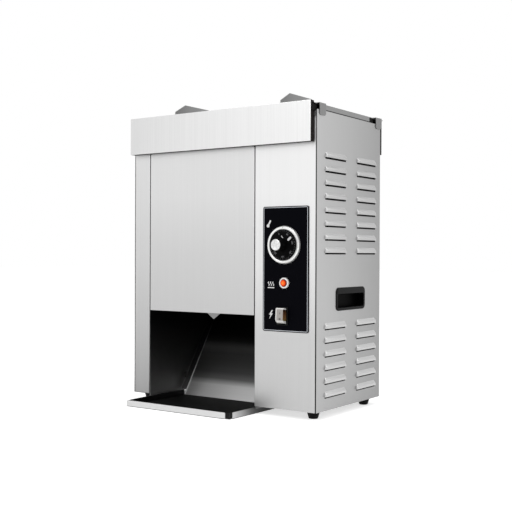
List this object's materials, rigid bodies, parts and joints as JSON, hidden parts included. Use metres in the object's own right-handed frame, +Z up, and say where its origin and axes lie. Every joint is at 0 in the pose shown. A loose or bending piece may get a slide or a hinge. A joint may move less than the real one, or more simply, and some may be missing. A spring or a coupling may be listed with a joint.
{
  "type": "vertical bun toaster",
  "caption": "Vertical contact bun toaster: stainless casing with louvred sides, top feed slots, heated platen between belts, discharge chute and slide-out tray, control column.",
  "frame": {"origin": "centre of the machine's footprint on the table, at the underside of the feet", "axes": "+X to the right and -Y towards the user, seen from the control side; +Z up. Y is measured over the tray in front and the hood's rear band."},
  "size_m": [0.4572, 0.3504, 0.636],
  "materials": {
    "front_steel": "brushed",
    "cover_steel": "brushed",
    "side_steel": "brushed",
    "rear_steel": "brushed",
    "band_steel": "brushed",
    "deck_steel": "brushed",
    "inner_steel": "satin",
    "guard_steel": "satin",
    "chute_steel": "brushed",
    "tray_steel": "satin",
    "liner_black": "satin",
    "foot_rubber": "matt",
    "buffer_rubber": "matt",
    "handle_plastic": "textured",
    "platen_metal": "satin",
    "element_steel": "heat tinted",
    "film": "smooth coated glass cloth",
    "belt": "ribbed silicone",
    "roller_steel": "turned",
    "bush_bronze": "satin",
    "gear_plastic": "moulded",
    "spindle_steel": "turned",
    "motor_paint": "satin",
    "thermostat_case": "moulded",
    "gland_plastic": "moulded",
    "plate_black": "satin black",
    "bezel_metal": "bright",
    "knob_black": "satin",
    "cap_silver": "bright turned",
    "lamp_ring": "gloss",
    "lamp_orange": "translucent",
    "switch_black": "satin",
    "rocker_cream": "gloss"
  },
  "bodies": {
    "casing": {"base_pan": "rear_steel", "feet": "foot_rubber", "left_side_panel": "side_steel", "right_side_panel": "side_steel", "left_handle_pocket": "handle_plastic", "right_handle_pocket": "handle_plastic", "rear_panel": "rear_steel", "left_post": "front_steel", "control_panel": "front_steel", "top_plate": "rear_steel", "left_inner_wall": "inner_steel", "right_inner_wall": "inner_steel", "front_crossbar": "inner_steel", "front_guard": "guard_steel", "chute": "chute_steel", "chute_brackets": "chute_steel", "platen": "platen_metal", "heating_elements": "element_steel", "platen_hangers": "inner_steel", "release_sheet": "film", "front_belt": "belt", "rear_belt": "belt", "shaft_bushes": "bush_bronze", "gear_studs": "roller_steel", "gearmotor": "motor_paint", "motor_bracket": "inner_steel", "thermostat_body": "thermostat_case", "cable_gland": "gland_plastic", "label_plate": "plate_black", "dial_bezel": "bezel_metal", "lamp_bezel": "lamp_ring", "lamp_lens": "lamp_orange", "switch_frame": "switch_black"},
    "hood": {"hood_deck": "deck_steel", "front_band": "band_steel", "rear_band": "band_steel", "hood_hooks": "deck_steel", "hood_buffers": "buffer_rubber", "left_cheek": "deck_steel", "right_cheek": "deck_steel"},
    "front_cover": {"front_cover": "cover_steel"},
    "tray": {"bun_tray": "tray_steel", "tray_liner": "liner_black"},
    "thermostat": {"thermostat_knob": "knob_black", "knob_cap": "cap_silver", "thermostat_spindle": "spindle_steel"},
    "rocker": {"switch_rocker": "rocker_cream"},
    "front_drive": {"front_drive_roller": "roller_steel", "front_gear": "gear_plastic"},
    "rear_drive": {"rear_drive_roller": "roller_steel", "rear_gear": "gear_plastic"},
    "front_idler": {"front_idler_roller": "roller_steel"},
    "rear_idler": {"rear_idler_roller": "roller_steel"},
    "front_cog": {"idler_gear_front": "gear_plastic"},
    "rear_cog": {"idler_gear_rear": "gear_plastic"}
  },
  "joints": [
    {"name": "hood_lift", "type": "slide", "parent": "casing", "child": "hood", "axis": [0, 0, 1], "range_m": [0, 0.09]},
    {"name": "front_cover_lift", "type": "slide", "parent": "casing", "child": "front_cover", "axis": [0, 0, 1], "range_m": [0, 0.012]},
    {"name": "tray_slide", "type": "slide", "parent": "casing", "child": "tray", "axis": [0, -1, 0], "range_m": [0, 0.19]},
    {"name": "thermostat_turn", "type": "hinge", "parent": "casing", "child": "thermostat", "pos_m": [0.1549, -0.11575, 0.3251], "axis": [0, 1, 0], "range_deg": [-45, 225]},
    {"name": "power_rocker", "type": "hinge", "parent": "casing", "child": "rocker", "pos_m": [0.152, -0.09475, 0.191], "axis": [1, 0, 0], "range_deg": [0, 18]},
    {"name": "front_drive_spin", "type": "hinge", "parent": "casing", "child": "front_drive", "pos_m": [-0.0466, -0.00375, 0.53], "axis": [1, 0, 0], "continuous": true},
    {"name": "rear_drive_spin", "type": "hinge", "parent": "casing", "child": "rear_drive", "pos_m": [-0.0466, 0.11625, 0.53], "axis": [1, 0, 0], "continuous": true},
    {"name": "front_idler_spin", "type": "hinge", "parent": "casing", "child": "front_idler", "pos_m": [-0.0466, -0.00375, 0.26], "axis": [1, 0, 0], "continuous": true},
    {"name": "rear_idler_spin", "type": "hinge", "parent": "casing", "child": "rear_idler", "pos_m": [-0.0466, 0.11625, 0.26], "axis": [1, 0, 0], "continuous": true},
    {"name": "front_cog_spin", "type": "hinge", "parent": "casing", "child": "front_cog", "pos_m": [-0.0466, 0.03625, 0.53], "axis": [1, 0, 0], "continuous": true},
    {"name": "rear_cog_spin", "type": "hinge", "parent": "casing", "child": "rear_cog", "pos_m": [-0.0466, 0.07625, 0.53], "axis": [1, 0, 0], "continuous": true}
  ],
  "couplings": [
    {"joint": "rear_drive_spin", "follows": "front_drive_spin", "ratio": -1},
    {"joint": "front_idler_spin", "follows": "front_drive_spin", "ratio": 1},
    {"joint": "rear_idler_spin", "follows": "front_drive_spin", "ratio": -1},
    {"joint": "front_cog_spin", "follows": "front_drive_spin", "ratio": -1},
    {"joint": "rear_cog_spin", "follows": "front_drive_spin", "ratio": 1}
  ]
}
